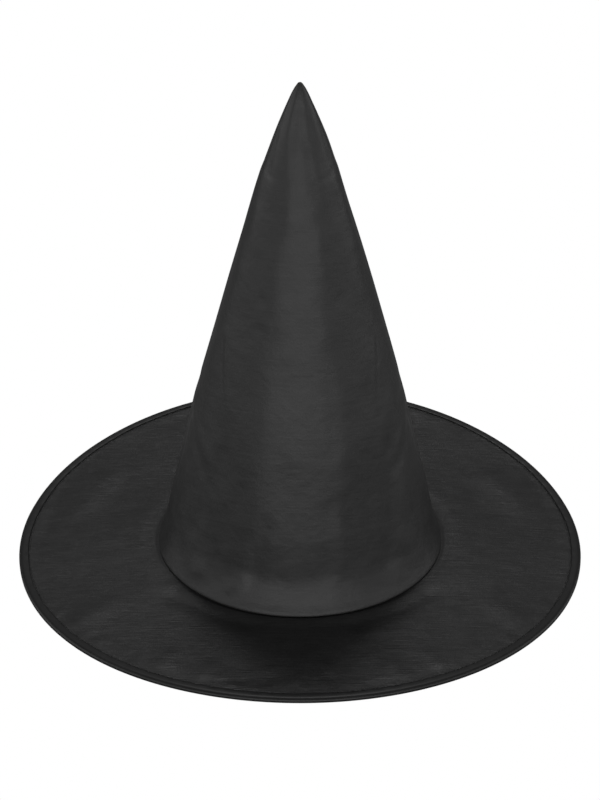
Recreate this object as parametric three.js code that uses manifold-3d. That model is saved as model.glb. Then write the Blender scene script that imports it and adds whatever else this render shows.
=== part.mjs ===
// A pointed witch hat: a tall stiffened cone of black satin, a soft unlined peak, and a wide round
// brim that is bound along its edge and kept in shape by a wire hoop.
//
// Frame: millimetres, +Z up. The origin is under the middle of the hat, at the height of the surface
// that it stands on. The front is -Y and the sewn-up back of the cone is +Y.
import * as THREE from "three";
import { mergeVertices } from "three/addons/utils/BufferGeometryUtils.js";
import Module from "manifold-3d";

const wasm = await Module();
wasm.setup();

// ---- Driving dimensions ------------------------------------------------------------------------
const BRIM_RADIUS = 190; // outer edge of the binding
const SEAM_HEIGHT = 8.5; // top of the brim where the crown is sewn to it
const BRIM_RISE = 9.3; // how far the front and back of the rim stand above its sides
const FLAT_SHARE = 0.26; // sine of the angle up to which the rim's sides lie flat
const GAP = 0.3; // between two layers that touch

const SATIN = 0.6; // one ply of the crown's satin, with its fused backing
const CROWN_INTERLINING = 1.0;
const BRIM_SATIN = 0.5;
const BRIM_INTERLINING = 1.0;
const TAPE = 0.6; // folded binding tape and seam allowances
const BAND = 1.0; // padded tape inside the crown
const BAND_HEIGHT = 25;
const BASE_ALLOWANCE = 10; // how far the brim's sewn edge is turned up inside the crown
const SEAM_ALLOWANCE_WIDTH = 10; // the crown's back seam, both sides pressed open
const THREAD = 0.4;

const BINDING_WIDTH = 6.5;
const WIRE_RADIUS = 0.6;
const WIRE_GAP = 3; // between the two ends of the hoop
const SLEEVE_LENGTH = 12;
const SLEEVE_WALL = 0.3;

const CREASE = 279; // height above the seam at which the stiff crown gives way to the soft peak
const PEAK_PLAY = 1.0; // room around the peak's lower edge, so that it can tip
const PEAK_EASE = 32; // height over which the peak swells from that edge to the crown's outline
const STIFF_TOP = 273; // top edge of the crown's interlining
const TIP = 337.5; // height of the point above the seam

const SEGMENTS = 48; // round the crown and the brim
const PEAK_SEGMENTS = 32;
const BACK_SLOT = SEAM_ALLOWANCE_WIDTH + 2; // the interlining stops short of the back seam

// The crown's outline: height above the seam, radius. It flares a little at the foot, is a straight
// cone above that, and its soft peak rounds over to a blunt point.
const OUTLINE = [
  [0, 96],
  [8, 92.6],
  [20, 89.6],
  [80, 76.2],
  [140, 62.1],
  [CREASE, 24],
  [296.5, 18.5],
  [311.5, 13.1],
  [323.5, 8.3],
  [331.5, 4.6],
  [336, 1.6],
];

// ---- Colours -----------------------------------------------------------------------------------
const fabric = (color, roughness) =>
  new THREE.MeshStandardMaterial({ color, roughness, metalness: 0 });
const satin = fabric(0x2b2b2d, 0.42);
const tape = fabric(0x1c1c1e, 0.6);
const interlining = fabric(0x3a3a3c, 0.95);
const webbing = fabric(0x242426, 0.85);
const thread = fabric(0x161617, 0.5);
const labelCloth = fabric(0xd9d7d1, 0.7);
const steel = new THREE.MeshStandardMaterial({
  color: 0x9a9a9c,
  roughness: 0.35,
  metalness: 1,
});

// ---- Shape helpers -----------------------------------------------------------------------------

// Radius of the crown's outside at a height above the seam; straight down below the seam.
function crownRadius(height) {
  if (height <= OUTLINE[0][0]) return OUTLINE[0][1];
  const upper = OUTLINE.findIndex(([h]) => h >= height);
  if (upper < 0) return 0;
  const [[h0, r0], [h1, r1]] = [OUTLINE[upper - 1], OUTLINE[upper]];
  return THREE.MathUtils.mapLinear(height, h0, h1, r0, r1);
}

// The outline's own heights between two heights, with both ends.
function heightsBetween(low, high) {
  const inside = OUTLINE.map(([h]) => h).filter((h) => h > low && h < high);
  return [low, ...inside, high];
}

// Turns a closed outline of [radius, height] points round the Z axis.
function revolve(points, segments = SEGMENTS) {
  const outline = points.map(([r, z]) => new THREE.Vector2(r, z));
  return new THREE.LatheGeometry(outline, segments).rotateX(Math.PI / 2);
}

// A layer of the crown, from depth `outer` to depth `inner` under its outside, measured level.
function crownLayer(outer, inner, low, high) {
  const heights = heightsBetween(low, high);
  const wall = (depth) => heights.map((h) => [crownRadius(h) - depth, SEAM_HEIGHT + h]);
  const points = [...wall(outer), ...wall(inner).reverse()];
  return revolve([...points, points[0]]);
}

// Height of the rim's middle: level along both sides, rising to the front and the back.
function rimHeight(x, y) {
  const flat = FLAT_SHARE ** 2;
  const turn = (y * y) / (x * x + y * y);
  return RIM_HALF + BRIM_RISE * Math.max(0, (turn - flat) / (1 - flat));
}

// Lays a ring, whose heights are measured from the middle of the brim, on the brim's surface, which
// runs straight from the seam to just short of the binding and is level across from there.
function layOnBrim(geometry) {
  const position = geometry.getAttribute("position");
  const p = new THREE.Vector3();
  for (let i = 0; i < position.count; i++) {
    p.fromBufferAttribute(position, i);
    const run = (Math.hypot(p.x, p.y) - BRIM_INNER) / (LEVEL_FROM - BRIM_INNER);
    const reach = THREE.MathUtils.clamp(run, 0, 1);
    const middle = THREE.MathUtils.lerp(SEAM_HEIGHT - STACK_HALF, rimHeight(p.x, p.y), reach);
    position.setZ(i, p.z + middle);
  }
  return geometry;
}

// One flat sheet of the brim between two heights from its middle.
function brimSheet(low, high) {
  const steps = 5;
  const radii = Array.from({ length: steps + 1 }, (_, i) =>
    THREE.MathUtils.lerp(BRIM_INNER, LEVEL_FROM, i / steps),
  );
  radii.push(SHEET_OUTER);
  const points = [
    ...radii.map((r) => [r, low]),
    ...radii.toReversed().map((r) => [r, high]),
  ];
  return layOnBrim(revolve([...points, points[0]]));
}

// A ring of round section that follows the rim.
function rimRing(radius) {
  const corners = 6;
  const points = Array.from({ length: corners + 1 }, (_, i) => {
    const angle = (2 * Math.PI * i) / corners;
    return [HOOP_RADIUS + radius * Math.cos(angle), radius * Math.sin(angle)];
  });
  return layOnBrim(revolve(points));
}

function rectangleRing(inner, outer, low, high) {
  const corners = [
    [outer, low],
    [outer, high],
    [inner, high],
    [inner, low],
    [outer, low],
  ];
  return revolve(corners);
}

// ---- Joining and cutting -----------------------------------------------------------------------
function solid(geometry) {
  const bare = geometry.clone();
  bare.deleteAttribute("normal");
  bare.deleteAttribute("uv");
  const merged = mergeVertices(bare, 1e-4);
  return new wasm.Manifold(
    new wasm.Mesh({
      numProp: 3,
      vertProperties: merged.getAttribute("position").array,
      triVerts: new Uint32Array(merged.index.array),
    }),
  );
}

function geometryOf(manifold) {
  const { vertProperties, triVerts } = manifold.getMesh();
  const geometry = new THREE.BufferGeometry();
  geometry.setAttribute("position", new THREE.BufferAttribute(vertProperties, 3));
  geometry.setIndex(new THREE.BufferAttribute(triVerts, 1));
  return geometry;
}

// A box across the back of the hat, `width` wide, tall enough to cut any piece.
function backBlock(width) {
  const reach = BRIM_RADIUS + 10;
  const height = 2 * (SEAM_HEIGHT + TIP);
  return solid(new THREE.BoxGeometry(width, reach, height).translate(0, reach / 2, 0));
}

const cutAtBack = (geometry, width) =>
  geometryOf(solid(geometry).subtract(backBlock(width)));
const keepAtBack = (geometry, width) =>
  geometryOf(solid(geometry).intersect(backBlock(width)));

// ---- Sizes that follow -------------------------------------------------------------------------
const STACK_HALF = BRIM_INTERLINING / 2 + GAP + BRIM_SATIN; // half the brim's cloth and interlining
const RIM_HALF = STACK_HALF + GAP + BRIM_SATIN; // half the brim where the binding wraps it
const HOOP_RADIUS = BRIM_RADIUS - TAPE - GAP - SLEEVE_WALL - GAP - WIRE_RADIUS;
const SHEET_OUTER = HOOP_RADIUS - WIRE_RADIUS - GAP - SLEEVE_WALL - GAP;
const BINDING_INNER = BRIM_RADIUS - BINDING_WIDTH;
const LEVEL_FROM = BINDING_INNER - 3;

// Depths of the crown's layers under its outside.
const LINING_OUT = SATIN + GAP;
const LINING_IN = LINING_OUT + CROWN_INTERLINING;
const TURNUP_OUT = LINING_IN + GAP;
const TURNUP_IN = TURNUP_OUT + TAPE;
const BAND_OUT = TURNUP_IN + GAP;
const BAND_IN = BAND_OUT + BAND;
const LABEL_OUT = BAND_IN + GAP;
const BRIM_INNER = crownRadius(0) - TURNUP_OUT + GAP;

// ---- Crown -------------------------------------------------------------------------------------
const makeCrownCover = () => crownLayer(0, SATIN, GAP, CREASE);

// The interlining, and the seam allowance that lies in the slot at its back.
const liningLayer = () => crownLayer(LINING_OUT, LINING_IN, GAP, STIFF_TOP);
const makeCrownInterlining = () => cutAtBack(liningLayer(), BACK_SLOT);
const makeCrownSeamAllowance = () => keepAtBack(liningLayer(), SEAM_ALLOWANCE_WIDTH);

// The row of thread that closes the cone, on the inside of the pressed-open allowance.
function makeCrownSeamStitching() {
  const layer = crownLayer(TURNUP_OUT, TURNUP_OUT + THREAD, BASE_ALLOWANCE + 2, STIFF_TOP);
  return keepAtBack(layer, 2 * THREAD);
}

// The brim's sewn edge turned up inside the crown, the band that covers it, and their stitching.
const makeBaseSeamAllowance = () =>
  crownLayer(TURNUP_OUT, TURNUP_IN, -2 * STACK_HALF, BASE_ALLOWANCE);
const makeHeadBand = () => crownLayer(BAND_OUT, BAND_IN, -STACK_HALF, BAND_HEIGHT);
const makeBaseSeamStitching = () =>
  crownLayer(LABEL_OUT, LABEL_OUT + THREAD, 1, 1 + 2 * THREAD);

// A blank cloth label, hung inside the back from the head band.
function makeLabel() {
  const [width, low, high] = [26, 12, 42];
  return keepAtBack(crownLayer(LABEL_OUT, LABEL_OUT + THREAD, low, high), width);
}

// ---- Brim --------------------------------------------------------------------------------------
const makeBrimTopCover = () => brimSheet(BRIM_INTERLINING / 2 + GAP, STACK_HALF);
const makeBrimUnderCover = () => brimSheet(-STACK_HALF, -BRIM_INTERLINING / 2 - GAP);
const makeBrimInterlining = () => brimSheet(-BRIM_INTERLINING / 2, BRIM_INTERLINING / 2);

// A tape folded round the edge of the brim: a U lying on its side, with softened outer corners.
function makeBinding() {
  const soft = 1.1;
  const inside = STACK_HALF + GAP;
  const wall = BRIM_RADIUS - TAPE;
  const points = [
    [BINDING_INNER, -RIM_HALF],
    [BRIM_RADIUS - soft, -RIM_HALF],
    [BRIM_RADIUS, -RIM_HALF + soft],
    [BRIM_RADIUS, RIM_HALF - soft],
    [BRIM_RADIUS - soft, RIM_HALF],
    [BINDING_INNER, RIM_HALF],
    [BINDING_INNER, inside],
    [wall - soft / 2, inside],
    [wall, inside - soft / 2],
    [wall, -inside + soft / 2],
    [wall - soft / 2, -inside],
    [BINDING_INNER, -inside],
    [BINDING_INNER, -RIM_HALF],
  ];
  return layOnBrim(revolve(points));
}

// Rows of thread along the inner edge of the binding, above and below the brim.
function makeBindingStitching(side) {
  const outer = BINDING_INNER - GAP;
  const near = STACK_HALF + GAP;
  const [low, high] = side > 0 ? [near, near + THREAD] : [-near - THREAD, -near];
  return layOnBrim(rectangleRing(outer - 1.5 * THREAD, outer, low, high));
}

const makeHoopWire = () => cutAtBack(rimRing(WIRE_RADIUS), WIRE_GAP);

function makeHoopSleeve() {
  const bore = rimRing(WIRE_RADIUS + GAP);
  const tube = solid(rimRing(WIRE_RADIUS + GAP + SLEEVE_WALL)).subtract(solid(bore));
  return keepAtBack(geometryOf(tube), SLEEVE_LENGTH);
}

// ---- Peak --------------------------------------------------------------------------------------

// Radius of the peak's outside: the crown's outline, drawn in at its lower edge so that it goes
// inside the top of the crown with room to tip.
function peakRadius(height) {
  const drawnIn = 1 - THREE.MathUtils.smoothstep(height, CREASE, CREASE + PEAK_EASE);
  return crownRadius(height) - (SATIN + PEAK_PLAY) * drawnIn;
}

function peakWall(depth, low, high) {
  return heightsBetween(low, high).map((h) => [peakRadius(h) - depth, SEAM_HEIGHT + h]);
}

function makePeakCover() {
  const last = OUTLINE.at(-1)[0];
  const innerTip = 333.5;
  const points = [
    [0, SEAM_HEIGHT + innerTip],
    ...peakWall(SATIN, CREASE, 332.5).reverse(),
    ...peakWall(0, CREASE, last),
    [0, SEAM_HEIGHT + TIP],
  ];
  return revolve(points, PEAK_SEGMENTS);
}

function makePeakSeamAllowance() {
  const outer = SATIN + GAP;
  const inner = outer + 2 * THREAD;
  const [low, high] = [CREASE + 2, 315];
  const points = [...peakWall(outer, low, high), ...peakWall(inner, low, high).reverse()];
  const layer = revolve([...points, points[0]], PEAK_SEGMENTS);
  return keepAtBack(layer, SEAM_ALLOWANCE_WIDTH - 2);
}

// The cloth that is turned in when the point is pushed out: a small wad that fills it.
function makePeakTuck() {
  const points = peakWall(SATIN + GAP, 317, 330);
  const [low, high] = [points[0][1], points.at(-1)[1]];
  return revolve([[0, low], ...points, [0, high]], PEAK_SEGMENTS);
}

// ---- Assembly ----------------------------------------------------------------------------------
function piece(name, geometry, material) {
  const mesh = new THREE.Mesh(geometry, material.clone());
  mesh.name = name;
  return mesh;
}

const hat = new THREE.Group();

const crown = new THREE.Group();
crown.add(
  piece("crown_cover", makeCrownCover(), satin),
  piece("crown_interlining", makeCrownInterlining(), interlining),
  piece("crown_seam_allowance", makeCrownSeamAllowance(), satin),
  piece("crown_seam_stitching", makeCrownSeamStitching(), thread),
  piece("base_seam_allowance", makeBaseSeamAllowance(), tape),
  piece("base_seam_stitching", makeBaseSeamStitching(), thread),
  piece("head_band", makeHeadBand(), webbing),
  piece("care_label", makeLabel(), labelCloth),
);

const brim = new THREE.Group();
brim.add(
  piece("brim_top_cover", makeBrimTopCover(), satin),
  piece("brim_interlining", makeBrimInterlining(), interlining),
  piece("brim_under_cover", makeBrimUnderCover(), satin),
  piece("brim_binding", makeBinding(), tape),
  piece("binding_stitching_upper", makeBindingStitching(1), thread),
  piece("binding_stitching_lower", makeBindingStitching(-1), thread),
  piece("hoop_wire", makeHoopWire(), steel),
  piece("hoop_sleeve", makeHoopSleeve(), steel),
);

const peak = new THREE.Group();
peak.add(
  piece("peak_cover", makePeakCover(), satin),
  piece("peak_seam_allowance", makePeakSeamAllowance(), satin),
  piece("peak_tuck", makePeakTuck(), satin),
);

hat.add(crown, brim, peak);

export default hat;
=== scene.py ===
"""The looks of a pointed witch hat in black satin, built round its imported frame.

Metres, +Z up, front at -Y. An azimuth is an angle round the hat from the front, in radians and
positive towards +X. A height on the crown is measured up from its seam with the brim.
"""
import math

import bpy
import numpy as np
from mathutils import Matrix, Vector


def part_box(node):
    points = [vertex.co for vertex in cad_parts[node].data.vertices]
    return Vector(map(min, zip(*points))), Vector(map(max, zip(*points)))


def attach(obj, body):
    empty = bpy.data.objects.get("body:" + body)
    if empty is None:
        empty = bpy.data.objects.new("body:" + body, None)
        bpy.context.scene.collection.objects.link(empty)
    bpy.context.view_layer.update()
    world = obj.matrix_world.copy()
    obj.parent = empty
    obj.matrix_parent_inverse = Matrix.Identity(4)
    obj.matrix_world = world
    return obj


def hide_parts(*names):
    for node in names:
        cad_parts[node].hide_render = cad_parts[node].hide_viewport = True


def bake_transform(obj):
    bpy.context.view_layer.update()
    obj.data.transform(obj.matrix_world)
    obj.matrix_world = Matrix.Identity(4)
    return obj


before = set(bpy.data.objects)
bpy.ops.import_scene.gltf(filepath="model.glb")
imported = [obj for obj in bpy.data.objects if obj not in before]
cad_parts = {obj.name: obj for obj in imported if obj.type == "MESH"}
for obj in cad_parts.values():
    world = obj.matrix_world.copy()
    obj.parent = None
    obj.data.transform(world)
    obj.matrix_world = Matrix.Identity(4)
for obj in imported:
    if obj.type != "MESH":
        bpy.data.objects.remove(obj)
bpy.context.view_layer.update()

MM = 0.001

# ---- Sizes, from the frame -----------------------------------------------------------------------
GAP = 0.3 * MM
SEAM_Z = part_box("crown_cover")[0].z - GAP
FOOT_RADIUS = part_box("crown_cover")[1].x
TIP_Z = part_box("peak_cover")[1].z
RIM_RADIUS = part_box("brim_binding")[1].x
RIM_TOP_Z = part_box("brim_binding")[1].z
SHEET_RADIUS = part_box("brim_top_cover")[1].x

# Cloth, board, tapes and thread, as thick as in the frame, and the brim's and the binding's shape.
CROWN_CLOTH = 0.6 * MM
CLOTH = 0.5 * MM
BOARD = 1.0 * MM
TAPE = 0.6 * MM
THREAD = 0.4 * MM
LABEL_TAPE = 0.4 * MM
STACK_HALF = BOARD / 2 + GAP + CLOTH
RIM_HALF = STACK_HALF + GAP + CLOTH
RIM_RISE = RIM_TOP_Z - 2 * RIM_HALF
FLAT_SHARE = 0.26  # the rim stays level where the azimuth's cosine is less than this
BINDING_WIDTH = 6.5 * MM
TAPE_WIDTH = 17 * MM  # before it is folded over the rim
BINDING_INNER = RIM_RADIUS - BINDING_WIDTH
LEVEL_FROM = BINDING_INNER - 3 * MM  # the brim is as high as its rim from here out

# Depths of the crown's layers under its outside.
LINING_OUT = CROWN_CLOTH + GAP
LINING_IN = LINING_OUT + BOARD
TURNUP_OUT = LINING_IN + GAP
TURNUP_IN = TURNUP_OUT + TAPE
BAND_OUT = TURNUP_IN + GAP
BAND_IN = BAND_OUT + BOARD
LABEL_OUT = BAND_IN + GAP
BRIM_INNER = FOOT_RADIUS - TURNUP_OUT + GAP

BACK_SLOT = 12 * MM  # the interlining's gap at the back seam
ALLOWANCE = 10 * MM  # both raw edges of the back seam together
BOARD_TOP = 273 * MM  # the interlining stops this far above the seam with the brim


# ---- Node trees ----------------------------------------------------------------------------------
class Socket:
    """A value in a node tree. Sums and products of it with numbers or others add Math nodes."""

    def __init__(self, nodes, socket):
        self.nodes, self.socket = nodes, socket

    def math(self, operation, other):
        """The value that an operation makes of this one and another."""
        return self.nodes.node("ShaderNodeMath", {"operation": operation}, {0: self, 1: other})

    def __add__(self, other):
        return self.math("ADD", other)

    def __mul__(self, other):
        return self.math("MULTIPLY", other)

    __radd__, __rmul__ = __add__, __mul__


class Nodes:
    """A node tree being filled, with one method that adds any node."""

    def __init__(self, tree):
        self.tree = tree

    def put(self, socket, value):
        """Gives a socket a number, a list of numbers or another node's value."""
        if isinstance(value, Socket):
            self.tree.links.new(value.socket, socket)
        else:
            socket.default_value = value

    def node(self, kind, settings=None, sockets=None, output=0):
        """Adds a node with these settings and these values at its sockets."""
        made = self.tree.nodes.new(kind)
        for name, value in (settings or {}).items():
            setattr(made, name, value)
        for name, value in (sockets or {}).items():
            self.put(made.inputs[name], value)
        return Socket(self, made.outputs[output])


# ---- Camera, lights and floor --------------------------------------------------------------------
def aim(thing, place, target):
    """Puts a camera or light into the scene at a place, looking at a target."""
    thing.location = place
    thing.rotation_euler = (Vector(target) - Vector(place)).to_track_quat("-Z", "Y").to_euler()
    bpy.context.scene.collection.objects.link(thing)


def polar(azimuth, elevation, distance, centre=(0, 0, 0)):
    """The point at a distance from centre; both angles in degrees."""
    a, e = math.radians(azimuth), math.radians(elevation)
    flat = distance * math.cos(e)
    return Vector((flat * math.sin(a), -flat * math.cos(a), distance * math.sin(e))) + Vector(centre)


def make_camera():
    """A long lens two metres away, above the front, aimed a little above the foot of the crown."""
    distance, elevation, rise = 2.0, 33.68, 2.649
    foot = (0, 0, SEAM_Z)
    camera = bpy.data.objects.new("camera", bpy.data.cameras.new("camera"))
    camera.data.lens = 132.66
    camera.data.sensor_width = 36
    place = polar(0, elevation, distance, foot)
    down = math.radians(elevation - rise)
    aim(camera, place, place + Vector((0, math.cos(down), -math.sin(down))))
    camera.data.clip_start, camera.data.clip_end = 0.1, 60
    bpy.context.scene.camera = camera


def panel_light(name, place, target, width, height, radiance):
    """A rectangular soft light that the camera doesn't see, as bright as radiance says."""
    data = bpy.data.lights.new(name, "AREA")
    data.shape = "RECTANGLE"
    data.size, data.size_y = width, height
    data.energy = radiance * math.pi * width * height
    lamp = bpy.data.objects.new(name, data)
    aim(lamp, place, target)
    lamp.visible_camera = False


def make_lights():
    """A low panel in front, dimmer ones from its ends round both sides, and a lamp high behind."""
    middle = (0, 0, 0.1)
    panel_light("key_behind", polar(180, 62, 5.0, middle), middle, width=0.9, height=0.9, radiance=26)
    panel_light("front_panel", (0, -3.2, 0.75), (0, 0, 0.75), width=4.6, height=1.5, radiance=4.15)
    aside = (0, 0, 0.8)
    for side in (-1, 1):
        panel_light("side_panel", polar(side * 78, 0, 2.5, aside), aside, width=4.8, height=1.6,
                    radiance=1.75)


def white_to_camera(tree, output, seen_kind, lit_kind):
    """Feeds a tree's output: plain white to the camera, a grey of 0.2 to every other ray."""
    nodes = Nodes(tree)
    seen = nodes.node(seen_kind, {}, {"Color": (1, 1, 1, 1)})
    lit = nodes.node(lit_kind, {}, {"Color": (0.2, 0.2, 0.2, 1)})
    camera_ray = nodes.node("ShaderNodeLightPath", output="Is Camera Ray")
    mixed = nodes.node("ShaderNodeMixShader", {}, {0: camera_ray, 1: lit, 2: seen})
    nodes.put(tree.nodes[output].inputs["Surface"], mixed)


def make_world():
    """An even studio all round."""
    world = bpy.data.worlds.new("studio")
    bpy.context.scene.world = world
    world.use_nodes = True
    white_to_camera(world.node_tree, "World Output", "ShaderNodeBackground", "ShaderNodeBackground")


def make_floor():
    """A wide table top just under the hat."""
    size = 12
    mesh = bpy.data.meshes.new("floor")
    mesh.from_pydata([(-size, -size, 0), (size, -size, 0), (size, size, 0), (-size, size, 0)], [],
                     [(0, 1, 2, 3)])
    floor = bpy.data.objects.new("floor", mesh)
    bpy.context.scene.collection.objects.link(floor)
    floor.location.z = -0.2 * MM
    material = bpy.data.materials.new("pale_floor")
    material.use_nodes = True
    white_to_camera(material.node_tree, "Material Output", "ShaderNodeEmission",
                    "ShaderNodeBsdfDiffuse")
    mesh.materials.append(material)


# ---- Materials -----------------------------------------------------------------------------------
class Finish(Nodes):
    """A material being made: its Principled shader and the nodes that feed it."""

    def __init__(self, name, **sockets):
        self.material = bpy.data.materials.new(name)
        self.material.use_nodes = True
        super().__init__(self.material.node_tree)
        self.shader = self.tree.nodes["Principled BSDF"]
        self.set(**sockets)

    def set(self, **sockets):
        """Sets or links the shader's sockets; a name's underscores stand for spaces."""
        for name, value in sockets.items():
            self.put(self.shader.inputs[name.replace("_", " ")], value)

    def cloth(self):
        """The piece's own cloth coordinates, in metres."""
        return self.node("ShaderNodeUVMap", {"uv_map": "cloth"})

    def place(self):
        """The point on the object, in metres."""
        return self.node("ShaderNodeTexCoord", output="Object")

    def noise(self, at, scale, detail=2.0):
        """Cloud noise whose grains are 1/scale metres along each axis, from 0 to 1."""
        at = self.node("ShaderNodeMapping", {}, {"Vector": at, "Scale": scale})
        return self.node("ShaderNodeTexNoise", {}, {"Vector": at, "Scale": 1.0, "Detail": detail})

    def grey(self, amount):
        """A neutral colour from a number."""
        return self.node("ShaderNodeCombineColor", {}, {0: amount, 1: amount, 2: amount})

    def bump(self, height, distance):
        """Raises the surface where height is 1 by distance metres."""
        self.set(Normal=self.node("ShaderNodeBump", {},
                                  {"Height": height, "Distance": distance, "Strength": 1.0}))


def make_satin(name, base, rough, gloss=0.25, across=0.0, floats=0.03, creased=1.0):
    """Polyester satin: long weft floats across, so fine streaks lie along the cloth's first axis, with
    slubs now and then. Handling has left it faintly crumpled and its gloss uneven. Its grey is about
    base, its roughness about rough, and across, floats and creased are how strongly light spreads
    across the threads, the floats stand out, and the cloth is crumpled."""
    satin = Finish(name, Specular_IOR_Level=gloss, Anisotropic=across, Anisotropic_Rotation=0.25)
    cloth = satin.cloth()
    weft = satin.noise(cloth, (40, 1900, 1), detail=3)
    slub = satin.noise(cloth, (45, 560, 1), detail=3)
    crumple = satin.noise(cloth, (38, 38, 1), detail=5)
    handled = satin.noise(cloth, (90, 90, 1), detail=4)
    satin.set(Base_Color=satin.grey(base * (0.3 + 0.6 * weft + 0.4 * slub + 0.4 * handled)),
              Roughness=rough - 0.12 + 0.10 * slub + 0.14 * handled)
    satin.bump(floats * weft + 0.12 * slub + creased * crumple, 0.6 * MM)
    return satin.material


def make_binding():
    """Folded plain tape, duller than the satin, with fine ribs across its length."""
    tape = Finish("binding_tape", Specular_IOR_Level=0.25)
    cloth = tape.cloth()
    ribs = tape.noise(cloth, (1500, 250, 1), detail=2)
    worn = tape.noise(cloth, (60, 160, 1), detail=3)
    tape.set(Base_Color=tape.grey(0.002 + 0.003 * ribs + 0.002 * worn), Roughness=0.38 + 0.1 * worn)
    tape.bump(ribs, 0.02 * MM)
    return tape.material


def make_interlining():
    """Stiff non-woven board: matted fibres, pressed in small points."""
    felt = Finish("non_woven_board", Specular_IOR_Level=0.3, Roughness=0.95)
    place = felt.place()
    fibres = felt.noise(place, (900, 900, 900), detail=4)
    mats = felt.noise(place, (160, 160, 160), detail=3)
    felt.set(Base_Color=felt.grey(0.02 + 0.035 * fibres + 0.02 * mats))
    felt.bump(0.6 * fibres + 0.4 * mats, 0.12 * MM)
    return felt.material


def make_head_band():
    """Ribbed tape: ribs up and down, a dull black."""
    band = Finish("head_band_rib", Specular_IOR_Level=0.3)
    cloth = band.cloth()
    yarn = band.noise(cloth, (2200, 500, 1), detail=2)
    worn = band.noise(cloth, (70, 70, 70), detail=3)
    band.set(Base_Color=band.grey(0.008 + 0.01 * yarn + 0.004 * worn), Roughness=0.75 + 0.15 * worn)
    band.bump(yarn, 0.03 * MM)
    return band.material


def make_thread():
    """Twisted sewing thread, a little glossy."""
    thread = Finish("black_thread", Specular_IOR_Level=0.35)
    twist = thread.noise(thread.place(), (2600, 2600, 2600), detail=1)
    thread.set(Base_Color=thread.grey(0.005 + 0.008 * twist), Roughness=0.45 + 0.15 * twist)
    return thread.material


def make_label():
    """A blank white label tape with fine lines of weave."""
    label = Finish("label_tape", Specular_IOR_Level=0.4)
    cloth = label.cloth()
    weave = label.noise(cloth, (300, 2400, 1), detail=2)
    label.set(Base_Color=label.grey(0.6 + 0.15 * weave), Roughness=0.4 + 0.15 * weave)
    label.bump(weave, 0.02 * MM)
    return label.material


def make_steel():
    """Drawn spring wire, with faint lines and dull spots."""
    steel = Finish("spring_steel", Metallic=1.0)
    spots = steel.noise(steel.place(), (500, 500, 500), detail=3)
    steel.set(Base_Color=steel.grey(0.42 + 0.2 * spots), Roughness=0.28 + 0.15 * spots)
    return steel.material


# ---- Surfaces ------------------------------------------------------------------------------------
def mesh_object(name, points, corners, material, cloth=None, cloth_corners=()):
    """A mesh from points and arrays of corner numbers, of faces of 3 or 4, and the same for its
    cloth coordinates."""
    mesh = bpy.data.meshes.new(name)
    mesh.from_pydata(points.reshape(-1, 3), [], [face for part in corners for face in part.tolist()])
    if cloth is not None:
        layer = mesh.uv_layers.new(name="cloth")
        numbers = np.concatenate([part.reshape(-1) for part in cloth_corners])
        layer.data.foreach_set("uv", cloth.reshape(-1, 2)[numbers].astype(np.float32).reshape(-1))
    mesh.polygons.foreach_set("use_smooth", np.ones(len(mesh.polygons), bool))
    mesh.materials.append(material)
    made = bpy.data.objects.new(name, mesh)
    bpy.context.scene.collection.objects.link(made)
    return made


def face_rows(*corners):
    """Faces as rows of corner numbers, from an array of numbers, or one number, for each corner."""
    return np.stack(np.broadcast_arrays(*corners), -1).reshape(-1, len(corners))


def shell(name, outer, inner, cloth, material, ring=True, caps=False):
    """A closed sheet between two grids of points, rows x columns: the outer face, which faces out
    where rows climb and columns turn anticlockwise, the inner face turned round, and a strip along
    every open edge. A ring's last column joins its first. With caps both faces end in a point after
    their last row. Cloth coordinates have one column more than a ring."""
    rows, columns = outer.shape[:2]
    wide = cloth.shape[1]

    def faces(columns, joined, poles):
        """Corner numbers of every part, where each face of the sheet has rows x columns points."""
        def at(side, i, j):
            """The number of the point in row i and column j of one face."""
            return (side * rows + i) * columns + (j % columns if joined else j)

        i, j, last, end = np.arange(rows - 1)[:, None], np.arange(wide - 1), rows - 1, columns - 1
        cells = face_rows(at(0, i, j), at(0, i, j + 1), at(0, i + 1, j + 1), at(0, i + 1, j))
        made = [cells, cells[:, ::-1] + rows * columns,
                face_rows(at(0, 0, j + 1), at(0, 0, j), at(1, 0, j), at(1, 0, j + 1))]
        if caps:
            made += [face_rows(at(0, last, j), at(0, last, j + 1), poles[0]),
                     face_rows(at(1, last, j + 1), at(1, last, j), poles[1])]
        else:
            made.append(face_rows(at(0, last, j), at(0, last, j + 1), at(1, last, j + 1),
                                  at(1, last, j)))
        if not ring:
            made += [face_rows(at(0, i, 0), at(0, i + 1, 0), at(1, i + 1, 0), at(1, i, 0)),
                     face_rows(at(0, i + 1, end), at(0, i, end), at(1, i, end), at(1, i + 1, end))]
        return made

    points = [outer.reshape(-1, 3), inner.reshape(-1, 3)]
    if caps:
        points += [outer[-1].mean(0)[None], inner[-1].mean(0)[None]]
    flat = cloth.reshape(-1, 2)
    poles = 2 * rows * columns, 2 * rows * columns + 1
    return mesh_object(name, np.concatenate(points), faces(columns, ring, poles), material,
                       np.concatenate([flat, flat, cloth[-1].mean(0)[None]]),
                       faces(wide, False, (2 * rows * wide,) * 2))


def smooth(low, high, x):
    """Nothing below low, one above high, and an S-curve between them."""
    t = np.clip((x - low) / (high - low), 0, 1)
    return t * t * (3 - 2 * t)


def unit(vectors):
    """Rows of vectors in the same directions, one unit long."""
    return vectors / np.linalg.norm(vectors, axis=1)[:, None]


def even_runs(stops, steps):
    """Numbers that climb from each stop to the next in so many even steps."""
    runs = [np.linspace(low, high, count, endpoint=False)
            for low, high, count in zip(stops, stops[1:], steps)]
    return np.concatenate([*runs, stops[-1:]])


def bell(x, y, across, up, half_width):
    """A bell curve, one high, of the distance from the line between nought and (across, up)."""
    share = np.clip((x * across + y * up) / (across**2 + up**2), 0, 1)
    away = (x - share * across) ** 2 + (y - share * up) ** 2
    return np.exp(-away / half_width**2)


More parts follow.
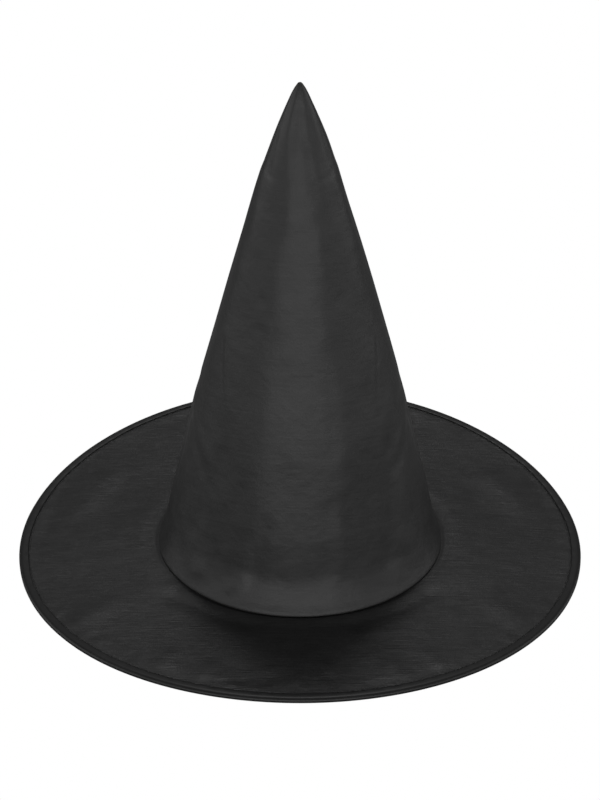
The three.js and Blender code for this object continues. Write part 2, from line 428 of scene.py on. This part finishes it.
def curve(points, at):
    """Points on a smooth curve through the given ones, at shares of its length: between two of
    them, the cubic whose slopes at its ends are the central differences over the running length."""
    p = np.asarray(points, float)
    s = np.concatenate([[0], np.cumsum(np.linalg.norm(np.diff(p, axis=0), axis=1))])
    slope = np.gradient(p, s, axis=0)
    at = np.asarray(at) * s[-1]
    i = np.clip(np.searchsorted(s, at, side="right") - 1, 0, len(s) - 2)
    step = (s[i + 1] - s[i])[:, None]
    t = (at - s[i])[:, None] / step
    return ((2 * t**3 - 3 * t**2 + 1) * p[i] + (t**3 - 2 * t**2 + t) * step * slope[i]
            + (3 * t**2 - 2 * t**3) * p[i + 1] + (t**3 - t**2) * step * slope[i + 1])


def turned(radius, azimuth, z):
    """Points at a radius, azimuth and height above the floor."""
    radius, azimuth, z = np.broadcast_arrays(radius, azimuth, z)
    return np.stack([radius * np.sin(azimuth), -radius * np.cos(azimuth), z], -1)


def ring_azimuths(columns, fine=0, near=0.0):
    """Azimuths all round from the back: even ones, or fine ones on either side of the back as far
    as the azimuth near, and even ones between them."""
    side = near * np.linspace(0, 1, fine + 1)[:-1]
    main = np.linspace(near - math.pi, math.pi - near, columns + 1 - 2 * fine)
    return np.concatenate([side - math.pi, main, math.pi - side[::-1]])


# ---- The crown's shape ---------------------------------------------------------------------------
# Height above the seam and radius, in millimetres on a foot of 96 mm and a tip at 337.5 mm.
CROWN_OUTLINE = np.array([
    (0.2, 95.2), (0.7, 95.8), (1.5, 95.7), (5, 94.5), (10, 92.7), (22, 89.3), (31, 87.6), (45, 84.4),
    (80, 76.2), (110, 69.6), (140, 62.1), (180, 51.5), (251, 32.0), (283, 22.9), (311, 13.3), (324, 8.1),
    (331, 4.9), (335, 2.6), (337, 1.1), (337.4, 0.35)])
CROWN_OUTLINE = CROWN_OUTLINE * (TIP_Z - SEAM_Z, FOOT_RADIUS) / (337.5, 96)
# The layers inside it run straight down past the seam.
INNER_OUTLINE = np.concatenate([[(-4 * MM, FOOT_RADIUS), (-1 * MM, FOOT_RADIUS)], CROWN_OUTLINE[3:-4]])

# Creases and dimples of the crown: azimuth in degrees and height in millimetres of both ends, half
# width and how far it stands out in millimetres. Below nothing it is a hollow.
CROWN_FOLDS = (
    (-34, 204, -33, 203, 3.5, -0.5), (34, 204, 33, 203, 3.5, -0.5), (-32, 186, -31, 185, 3, -0.4),
    (-64, 168, -52, 139, 1.6, -0.35), (64, 168, 52, 139, 1.6, -0.35),
    (-60, 166, -49, 137, 2.4, 0.25), (60, 166, 49, 137, 2.4, 0.25),
    (-89, 100, -90, 51, 5, -0.8), (89, 100, 90, 51, 5, -0.8),
    (-87, 102, -54, 81, 4, -0.5), (87, 102, 54, 81, 4, -0.5),
    (-84, 110, -50, 90, 4, 0.4), (84, 110, 50, 90, 4, 0.4),
    (-95, 121, -75, 119, 5, -0.7), (95, 121, 75, 119, 5, -0.7),
    (54, 95, 43, 27, 8, -1.6),
    (-49, 13, -47, 15, 6, 0.9), (-30, 12, -25, 18, 5, 0.9),
    (150, 60, 128, 110, 7, -0.9), (-150, 90, -125, 60, 6, -0.7), (165, 150, 150, 190, 5, -0.5),
    (-160, 170, -140, 200, 5, -0.5), (118, 30, 140, 55, 6, -0.6), (-115, 140, -140, 160, 5, -0.5),
    (24, 279, 59, 280, 1.5, -0.25), (-24, 279, -59, 280, 1.5, -0.25),
    (-38, 30, -30, 80, 5, -0.5), (-20, 24, -16, 60, 6, -0.5), (12, 26, 14, 72, 6, -0.5),
    (28, 32, 23, 76, 5, -0.5), (-55, 38, -45, 98, 5, -0.5), (-8, 90, -11, 128, 7, -0.4),
    (17, 108, 20, 150, 6, -0.35),
)


def crown_radius(height):
    """The outline's radius at a height, without the relief."""
    return np.interp(height, CROWN_OUTLINE[:, 0], CROWN_OUTLINE[:, 1])


def folds(azimuth, height, table):
    """The sum of the table's folds: each is as far out as it says times a bell curve round the
    line, on the cloth, between its ends."""
    total = np.zeros(np.broadcast(azimuth, height).shape)
    radius = crown_radius(height)
    for a0, h0, a1, h1, half_width, depth in table:
        turn = (azimuth - math.radians(a0) + math.pi) % (2 * math.pi) - math.pi
        across = math.radians(a1 - a0) * crown_radius((h0 + h1) / 2 * MM)
        total = total + depth * MM * bell(turn * radius, height - h0 * MM, across, (h1 - h0) * MM,
                                          half_width * MM)
    return total


def crown_relief(azimuth, height):
    """How far the satin stands off the outline: long soft waves that die out at the seam, the
    table's folds, the edge where the interlining stops, the soft peak's three shallow flutes, in
    front a bell-shaped swell about 100 mm up and a hollow about 24 mm up, and the back seam, drawn
    in to a groove with a pucker every 9 mm."""
    free = smooth(0, 25 * MM, height) * smooth(TIP_Z - SEAM_Z, 300 * MM, height)
    h = height / MM
    waves = (0.16 * np.sin(5 * azimuth + 0.031 * h + 0.7) + 0.13 * np.sin(9 * azimuth - 0.045 * h + 2.1)
             + 0.12 * np.sin(3 * azimuth + 0.083 * h + 4.0) + 0.07 * np.sin(14 * azimuth + 0.09 * h))
    edge = -0.3 * smooth(276 * MM, 283 * MM, height)
    soft = smooth(282 * MM, 300 * MM, height) * smooth(TIP_Z - SEAM_Z, 322 * MM, height)
    flutes = 0.15 * np.sin(3 * azimuth + 0.05 * h + 1.2) + 0.08 * np.sin(7 * azimuth - 0.1 * h)
    sprung = 1.6 * np.exp(-((h - 100) / 42) ** 2) - 2.0 * np.exp(-((h - 24) / 20) ** 2)
    front = 1 - smooth(0.3, 1.0, np.abs(azimuth))
    from_back = (math.pi - np.abs(azimuth)) * crown_radius(height) / MM
    seam = -0.55 * np.exp(-(from_back / 1.1) ** 2)
    pucker = 0.22 * np.cos(2 * math.pi * h / 9) * np.exp(-(from_back / 5) ** 2)
    seamed = smooth(TIP_Z - SEAM_Z, 325 * MM, height)
    return (free * waves + edge * smooth(TIP_Z - SEAM_Z, 320 * MM, height) + soft * flutes
            + smooth(0, 8 * MM, height) * front * sprung
            + seamed * (seam + pucker)) * MM + folds(azimuth, height, CROWN_FOLDS)


def crown_surface(shares, azimuth, depth=0.0, outline=CROWN_OUTLINE):
    """Points of the crown at shares of its outline's length, one row for each, a depth under its
    outside. The relief moves them along the outline's normal."""
    line = curve(outline, shares)
    along = unit(np.gradient(line, axis=0))
    azimuth = np.atleast_2d(azimuth)
    height, radius = line[:, 0][:, None], line[:, 1][:, None]
    out = crown_relief(azimuth, height) - depth
    return turned(np.maximum(radius + along[:, 0][:, None] * out, 0.15 * MM), azimuth,
                  SEAM_Z + height - along[:, 1][:, None] * out)


def share_at(height, outline):
    """The share of the outline's length at a height."""
    shares = np.linspace(0, 1, 2000)
    return np.interp(height, curve(outline, shares)[:, 0], shares)


def cone_cloth(shares, azimuth):
    """Cloth coordinates of the crown as it was cut, flat: a point's distance from the tip stays, and
    its azimuth shrinks to the angle that the cone's foot takes on the flat."""
    outline = curve(CROWN_OUTLINE, np.linspace(0, 1, 2000))
    length = np.linalg.norm(np.diff(outline, axis=0), axis=1).sum()
    angle = np.atleast_2d(azimuth) * FOOT_RADIUS / length
    from_tip = ((1 - np.asarray(shares)) * length)[:, None]
    return np.stack([from_tip * np.sin(angle), -from_tip * np.cos(angle)], -1), length


# ---- The brim's shape ----------------------------------------------------------------------------
# Shallow folds of the brim: x and y of both ends, half width and height in millimetres.
BRIM_FOLDS = (
    (-152, 42, -136, 76, 12, 0.8), (152, 42, 136, 76, 12, 0.8),
    (-124, -76, -142, -92, 9, 0.5), (124, -76, 142, -92, 9, 0.5),
    (-84, -138, -92, -156, 5, 0.4), (84, -138, 92, -156, 5, 0.4),
    (-58, -150, -65, -168, 5, 0.4), (58, -150, 65, -168, 5, 0.4),
    (-21, -166, -24, -177, 4, -0.35), (21, -166, 24, -177, 4, -0.35),
    (20, 120, 45, 165, 12, -0.25), (-60, 110, -85, 150, 12, -0.25),
    (-36, -100, -81, -68, 11, -0.9), (36, -100, 81, -68, 11, -0.9),
    (-40, -116, -52, -162, 7, 0.45), (40, -116, 52, -162, 7, 0.45),
    (-7, -128, -5, -168, 6, 0.35), (15, -122, 19, -164, 6, -0.35),
)


def rim_rise(azimuth):
    """How far the rim stands above its level sides: it grows with the square of the cosine of the
    azimuth once that passes the square of the flat share."""
    flat = FLAT_SHARE**2
    return RIM_RISE * np.maximum(0, (np.cos(azimuth) ** 2 - flat) / (1 - flat))


def brim_middle(radius, azimuth):
    """Height of the brim's middle: a straight run from the seam down or up to the rim, eased into
    the level edge by a parabola, a low roll beside the seam in front that turns into a shallow ditch
    at the sides, and soft waves and hollows."""
    ease = 9 * MM
    short = (LEVEL_FROM - radius) / (LEVEL_FROM - BRIM_INNER)
    e = ease / (LEVEL_FROM - BRIM_INNER)
    left = np.where(np.abs(short) < e, (short + e) ** 2 / (4 * e), np.maximum(short, 0))
    rim = RIM_HALF + rim_rise(azimuth)
    base = rim + (SEAM_Z - STACK_HALF - rim) * left
    beside = smooth(95.8 * MM, 98 * MM, radius) * (1 - smooth(98.5 * MM, 109 * MM, radius))
    roll = beside * (1.1 * np.maximum(np.cos(azimuth), 0) ** 2 - 0.5 * np.sin(azimuth) ** 2) * MM
    x, y = radius * np.sin(azimuth) / MM, -radius * np.cos(azimuth) / MM
    hollow = np.zeros(np.broadcast(x, y).shape)
    for x0, y0, x1, y1, half_width, depth in BRIM_FOLDS:
        hollow = hollow + depth * bell(x - x0, y - y0, x1 - x0, y1 - y0, half_width)
    soft = (0.12 * np.sin(0.061 * x + 0.035 * y + 1.0) + 0.10 * np.sin(-0.04 * x + 0.07 * y + 2.6)
            + 0.05 * np.sin(0.12 * x + 0.02 * y + 0.3))
    inside = smooth(BRIM_INNER, 112 * MM, radius) * (1 - smooth(172 * MM, LEVEL_FROM, radius))
    near_rim = smooth(165 * MM, 176 * MM, radius) * (1 - smooth(181 * MM, 184 * MM, radius))
    pull = 0.05 * np.sin(61 * azimuth + 2 * np.sin(7 * azimuth)) + 0.04 * np.sin(97 * azimuth)
    return base + roll + MM * (inside * (soft + hollow) + near_rim * pull)


def brim_sheet(name, low, high, radii, columns, material):
    """One flat sheet of the brim between two heights from its middle."""
    azimuth = ring_azimuths(columns)
    middle = brim_middle(radii[:, None], azimuth[None, :-1])
    top = turned(radii[:, None], azimuth[None, :-1], middle + high)[::-1]
    bottom = turned(radii[:, None], azimuth[None, :-1], middle + low)[::-1]
    cloth = turned(radii[:, None], azimuth[None, :], 0)[::-1, :, :2]
    return shell(name, top, bottom, cloth, material)


# ---- Pieces --------------------------------------------------------------------------------------
def dress(piece, body, slot, *nodes):
    """Makes a finished piece move with a body and stand for its nodes."""
    if body:
        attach(piece, body)
    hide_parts(*nodes)


def bend_with_peak(piece):
    """Bakes a piece's transform into its points."""
    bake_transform(piece)


def make_crown_satin(finish):
    """The crown and its peak as one piece of satin: the outside, and the inside one cloth deeper,
    closed round the base and at the point."""
    shares = even_runs((0, 0.06, 0.76, 0.90, 1), (23, 105, 35, 33))
    azimuth = ring_azimuths(290, 12, 7 * MM / FOOT_RADIUS)
    cloth, length = cone_cloth(shares, azimuth)
    crown = shell("crown_satin", crown_surface(shares, azimuth[:-1]),
                  crown_surface(shares, azimuth[:-1], CROWN_CLOTH), cloth, finish, caps=True)
    bend_with_peak(crown)
    dress(crown, None, "satin", "crown_cover", "peak_cover")


def crown_layer(name, depths, heights, azimuth, finish, ring=True):
    """A layer under the crown's satin, between two depths, with a row of points at each height."""
    shares = share_at(heights, INNER_OUTLINE)
    columns = azimuth[..., :-1] if ring else azimuth
    cloth, _ = cone_cloth(share_at(heights, CROWN_OUTLINE), azimuth)
    outer, inner = (crown_surface(shares, columns, depth, INNER_OUTLINE) for depth in depths)
    return shell(name, outer, inner, cloth, finish, ring=ring)


def back_angle(width, heights):
    """The azimuth, from the back, of a point that far to one side of the back at each height."""
    radius = np.interp(heights, INNER_OUTLINE[:, 0], INNER_OUTLINE[:, 1]) - LINING_OUT
    return np.arcsin(np.minimum(width / radius, 1))[:, None]


def make_crown_board(finish):
    """The crown's stiff interlining, open along the back seam, as high as the crease."""
    heights = np.linspace(0.5 * MM, BOARD_TOP, 110)
    reach = math.pi - back_angle(BACK_SLOT / 2, heights)
    board = crown_layer("crown_board", (LINING_OUT, LINING_IN), heights,
                        reach * np.linspace(-1, 1, 181), finish, ring=False)
    bend_with_peak(board)
    dress(board, None, "interlining", "crown_interlining")


def seam_flaps(name, heights, width, depths, finish):
    """Both raw edges of the back seam, pressed open: two strips from the seam to a wavy cut edge,
    whose width is its mean plus three per cent of a sine along the seam."""
    flaps = []
    for side in (-1, 1):
        cut = width * (1 + 0.03 * np.sin(heights / MM * 0.4 + side) + 0.02 * np.sin(heights / MM * 1.7))
        near, far = back_angle(0.12 * MM, heights), back_angle(cut, heights)
        across = np.linspace(0, 1, 8) if side < 0 else np.linspace(1, 0, 8)
        azimuth = side * (math.pi - near - (far - near) * across)
        flaps.append(crown_layer(name, depths, heights, azimuth, finish, ring=False))
    return joined(name, flaps)


def joined(name, pieces):
    """Several meshes as one object."""
    with bpy.context.temp_override(active_object=pieces[0], selected_editable_objects=pieces):
        bpy.ops.object.join()
    pieces[0].name = name
    return pieces[0]


def stitches(name, centres, along, out, length, width, finish):
    """Stitches as one mesh. Each is a six-sided rod, thinner at its ends, whose centreline drops
    into the cloth with the fourth power of the distance from its middle."""
    share = np.array([-1, -0.8, -0.35, 0.35, 0.8, 1])[:, None]
    thick = width / 2 * np.array([0.5, 0.9, 1, 1, 0.9, 0.5])[:, None]
    rings, sides = len(share), 6
    turn = np.arange(sides) * math.pi / 3
    side = np.cross(out, along)
    local = [share * length / 2 + 0 * turn, thick * np.cos(turn),
             thick * np.sin(turn) - 0.9 * width * share**4]
    ends = [np.array([-1, 1]) * length / 2, np.zeros(2), np.full(2, -0.9 * width)]
    local = [np.concatenate([part.reshape(-1), end]) for part, end in zip(local, ends)]
    points = centres[:, None] + sum(part[:, None] * axis[:, None] for part, axis
                                    in zip(local, (along, side, out)))

    def at(i, j):
        """The number of a ring's point."""
        return i * sides + j % sides

    i, j, last = np.arange(rings - 1)[:, None], np.arange(sides), rings - 1
    near_tip, far_tip = rings * sides, rings * sides + 1
    walls = face_rows(at(i, j), at(i, j + 1), at(i + 1, j + 1), at(i + 1, j))
    tips = np.concatenate([face_rows(at(0, j + 1), at(0, j), near_tip),
                           face_rows(at(last, j), at(last, j + 1), far_tip)])
    first = np.arange(len(centres))[:, None, None] * (far_tip + 1)
    return mesh_object(name, points, [(part + first).reshape(-1, part.shape[1])
                                      for part in (walls, tips)], finish)


def stitch_line(name, line, out, length, width, finish):
    """Stitches end to end along a line of points, one between each two of them."""
    along = unit(np.diff(line, axis=0))
    middle = (line[1:] + line[:-1]) / 2
    out = out - (out * along).sum(1)[:, None] * along
    return stitches(name, middle, along, unit(out), length, width, finish)


def outward(azimuth):
    """Level vectors one unit long, away from the middle of the hat."""
    return turned(1.0, azimuth, 0.0)


def make_crown_seam(cloth, thread):
    """The back seam's pressed-open edges and its thread, which lies where they meet."""
    heights = np.linspace(1.5 * MM, BOARD_TOP, 136)
    flaps = seam_flaps("crown_seam_flaps", heights, ALLOWANCE / 2, (LINING_OUT, LINING_OUT + CLOTH),
                       cloth)
    bend_with_peak(flaps)
    dress(flaps, None, "satin_inside", "crown_seam_allowance")
    steps = np.linspace(12, 271, 90) * MM
    line = crown_surface(share_at(steps, INNER_OUTLINE), [math.pi], LINING_OUT + CLOTH + THREAD / 4,
                         INNER_OUTLINE)[:, 0]
    rows = stitch_line("crown_seam_stitches", line, -outward(np.full(len(steps) - 1, math.pi)),
                       length=2.6 * MM, width=0.45 * MM, finish=thread)
    bend_with_peak(rows)
    dress(rows, None, "thread", "crown_seam_stitching")


def make_base(cloth, band_finish, thread):
    """Inside the foot of the crown: the brim's edge turned up, with a wavy cut top, the ribbed band
    that covers it, and the stitches along the band's lower edge."""
    azimuth = ring_azimuths(300)
    heights = np.linspace(-2.4, 10, 22) * MM
    turnup = crown_layer("base_seam_turnup", (TURNUP_OUT, TURNUP_OUT + CLOTH), heights, azimuth, cloth)
    dress(turnup, "hat", "satin_inside", "base_seam_allowance")

    # The band's rows are closest at its two edges, which roll a little towards its middle.
    azimuth = ring_azimuths(2100)
    heights = np.concatenate([[-1.3, -1.1], np.linspace(-0.6, 24.3, 9), [24.8, 25]]) * MM
    roll = np.array([0.3, 0.1, *[0] * 9, 0.1, 0.3])[:, None] * MM
    ribs = 525
    rib = 0.12 * MM * np.abs(np.sin(azimuth[None, :-1] * ribs / 2))
    shares = share_at(heights, INNER_OUTLINE)
    outer = crown_surface(shares, azimuth[:-1], BAND_OUT + roll, INNER_OUTLINE)
    inner = crown_surface(shares, azimuth[:-1], BAND_IN - roll - rib, INNER_OUTLINE)
    flat = np.stack(np.broadcast_arrays(azimuth[None, :] * FOOT_RADIUS, heights[:, None]), -1)
    band = shell("head_band_tape", outer, inner, flat, band_finish)
    dress(band, "hat", "head_band", "head_band")

    steps = ring_azimuths(182)
    radius = np.interp(1.4 * MM, INNER_OUTLINE[:, 0], INNER_OUTLINE[:, 1]) - BAND_IN - 0.1 * MM
    row = stitch_line("base_seam_stitches", turned(radius, steps, SEAM_Z + 1.4 * MM),
                      -outward((steps[1:] + steps[:-1]) / 2), length=2.6 * MM, width=0.5 * MM,
                      finish=thread)
    dress(row, "hat", "thread", "base_seam_stitching")


def make_care_label(finish):
    """A blank label sewn to the band at the back, folded over at its free end: it stands off the
    crown there by the square of the distance from the band's edge."""
    low, high, width = 12 * MM, 42 * MM, 26 * MM
    heights = np.linspace(low, high, 40)
    across = np.linspace(1, -1, 30)[None, :] * width / 2
    azimuth = math.pi - np.arcsin(across / FOOT_RADIUS) + 0 * heights[:, None]
    lift = 1.6 * MM * smooth(20 * MM, high, heights)[:, None] ** 2 * (1 + 0.3 * across / width)
    shares = share_at(heights, INNER_OUTLINE)
    outer, inner = (crown_surface(shares, azimuth, LABEL_OUT + depth + lift, INNER_OUTLINE)
                    for depth in (0, LABEL_TAPE))
    flat = np.stack(np.broadcast_arrays(across, heights[:, None]), -1)
    label = shell("care_label_tape", outer, inner, flat, finish, ring=False)
    dress(label, "hat", "label", "care_label")


def make_brim(satin, board_finish):
    """The brim's two satin faces and the board between them. Their rows are closest near the seam
    and the binding."""
    radii = even_runs((BRIM_INNER, 108 * MM, 164 * MM, SHEET_RADIUS), (25, 35, 25))
    area = math.pi * (SHEET_RADIUS**2 - BRIM_INNER**2)
    for name, low, high, finish, slot, node in (
            ("brim_top_satin", BOARD / 2 + GAP, STACK_HALF, satin, "satin", "brim_top_cover"),
            ("brim_board", -BOARD / 2, BOARD / 2, board_finish, "interlining", "brim_interlining"),
            ("brim_under_satin", -STACK_HALF, -BOARD / 2 - GAP, satin, "satin", "brim_under_cover")):
        sheet = brim_sheet(name, low, high, radii, 480, finish)
        dress(sheet, "hat", slot, node)


# The folded binding's outside and inside: distance from the middle of the hat and height above the
# middle of the rim, in millimetres on a rim of 190 mm, from the lower lip round to the upper one.
BINDING_OUTSIDE = (
    (183.5, -1.45), (183.58, -1.8), (184.2, -1.98), (185.6, -2.1), (187.0, -2.1), (188.3, -1.95),
    (189.3, -1.4), (189.85, -0.7), (190, 0), (189.85, 0.7), (189.3, 1.4), (188.3, 1.95),
    (187.0, 2.1), (185.6, 2.08), (184.2, 1.96), (183.58, 1.8), (183.5, 1.45))
BINDING_INSIDE = (
    (183.95, -1.4), (184.05, -1.42), (184.5, -1.48), (185.6, -1.55), (187.0, -1.55), (188.0, -1.45),
    (188.8, -1.05), (189.25, -0.5), (189.4, 0), (189.25, 0.5), (188.8, 1.05), (188.0, 1.45),
    (187.0, 1.55), (185.6, 1.55), (184.5, 1.48), (184.05, 1.42), (183.95, 1.4))


def make_binding_tape(finish):
    """Tape folded round the rim: its section is carried round, puckered near its lips by sines of
    about 9 and 15 mm, a little uneven in width, and lapped over its own end at the back."""
    azimuth = ring_azimuths(760, 24, 16 * MM / RIM_RADIUS)
    arc = (azimuth % (2 * math.pi) - math.pi) * RIM_RADIUS / MM
    lap = 0.45 * smooth(-3.6, -3.0, arc) * (1 - smooth(9.0, 9.6, arc))
    shares = np.linspace(0, 1, 30)
    lip = (smooth(0.75, 1.0, shares) + smooth(0.25, 0.0, shares))[:, None]
    pucker = (0.10 * np.sin(131 * azimuth + 1.5 * np.sin(11 * azimuth))
              + 0.07 * np.sin(83 * azimuth + 2 * np.sin(5 * azimuth)))
    uneven = 0.12 * np.sin(17 * azimuth + 1.0) + 0.08 * np.sin(29 * azimuth)
    faces = []
    for points, out in ((BINDING_OUTSIDE, 1.0), (BINDING_INSIDE, 0.0)):
        section = curve(points, shares)
        along = unit(np.gradient(section, axis=0))
        off = lap * out + pucker * lip * 0.8
        radius = section[:, :1] + along[:, 1:] * off - uneven * lip * (0.6 + 0.4 * out)
        height = section[:, 1:] - along[:, :1] * off
        middle = (RIM_HALF + rim_rise(azimuth))[None, :]
        faces.append(turned(radius * MM, azimuth[None, :], middle + height * MM)[:, :-1])
    length = RIM_RADIUS * azimuth
    flat = np.stack(np.broadcast_arrays(length[None, :], shares[:, None] * TAPE_WIDTH), -1)
    tape = shell("brim_binding_tape", faces[0], faces[1], flat, finish)
    dress(tape, "hat", "binding", "brim_binding")


def make_binding_stitches(finish):
    """A row of stitches beside the binding, on the top of the brim and under it."""
    steps = ring_azimuths(364)
    radius = BINDING_INNER - 0.6 * MM
    for name, side, node in (("binding_stitches_top", 1, "binding_stitching_upper"),
                             ("binding_stitches_under", -1, "binding_stitching_lower")):
        height = brim_middle(radius, steps) + side * (STACK_HALF + 0.12 * MM)
        row = stitch_line(name, turned(radius, steps, height), np.array([[0, 0, side]]),
                          length=2.5 * MM, width=0.45 * MM, finish=finish)
        dress(row, "hat", "thread", node)


def make_peak_inside(cloth):
    """Inside the soft peak: the back seam's edges, and the cloth turned in at the point, crumpled
    by sines round it and along it."""
    above_crease = np.linspace(281, 315, 18) * MM
    depth = LINING_OUT + 0.6 * MM
    flaps = seam_flaps("peak_seam_flaps", above_crease, ALLOWANCE / 2 - 1 * MM, (depth, depth + CLOTH),
                       cloth)
    bend_with_peak(flaps)
    dress(flaps, None, "satin_inside", "peak_seam_allowance")

    azimuth = ring_azimuths(48)
    heights = np.linspace(317, 329.5, 16) * MM
    shares = share_at(heights, CROWN_OUTLINE)
    crumple = 0.25 * MM * (np.sin(5 * azimuth[None, :-1] + heights[:, None] / MM)
                           + np.sin(9 * azimuth[None, :-1] - 1.3 * heights[:, None] / MM))
    outer = crown_surface(shares, azimuth[:-1], LINING_OUT + 0.8 * MM + crumple)
    inner = crown_surface(shares, azimuth[:-1], LINING_OUT + 1.6 * MM + crumple)
    tuck = shell("peak_turned_in", outer, inner, cone_cloth(shares, azimuth)[0], cloth, caps=True)
    dress(tuck, "peak", "satin_inside", "peak_tuck")


def finish_hoop(steel):
    """The hoop's wire and sleeve, inside the binding, keep their shape and get their finish."""
    for node in ("hoop_wire", "hoop_sleeve"):
        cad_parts[node].data.materials.clear()
        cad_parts[node].data.materials.append(steel)


make_camera()
make_lights()
make_world()
make_floor()
bpy.context.scene.view_settings.view_transform = "Standard"

satin = make_satin("black_satin", 0.012, 0.36, floats=0.3)
crown_cloth = make_satin("crown_satin", 0.012, 0.42, across=0.6, creased=2.3)
satin_back = make_satin("satin_inside", 0.012, 0.55)
board = make_interlining()
thread = make_thread()
make_crown_satin(crown_cloth)
make_crown_board(board)
make_crown_seam(satin_back, thread)
make_base(satin_back, make_head_band(), thread)
make_care_label(make_label())
make_brim(satin, board)
make_binding_tape(make_binding())
make_binding_stitches(thread)
make_peak_inside(satin_back)
finish_hoop(make_steel())
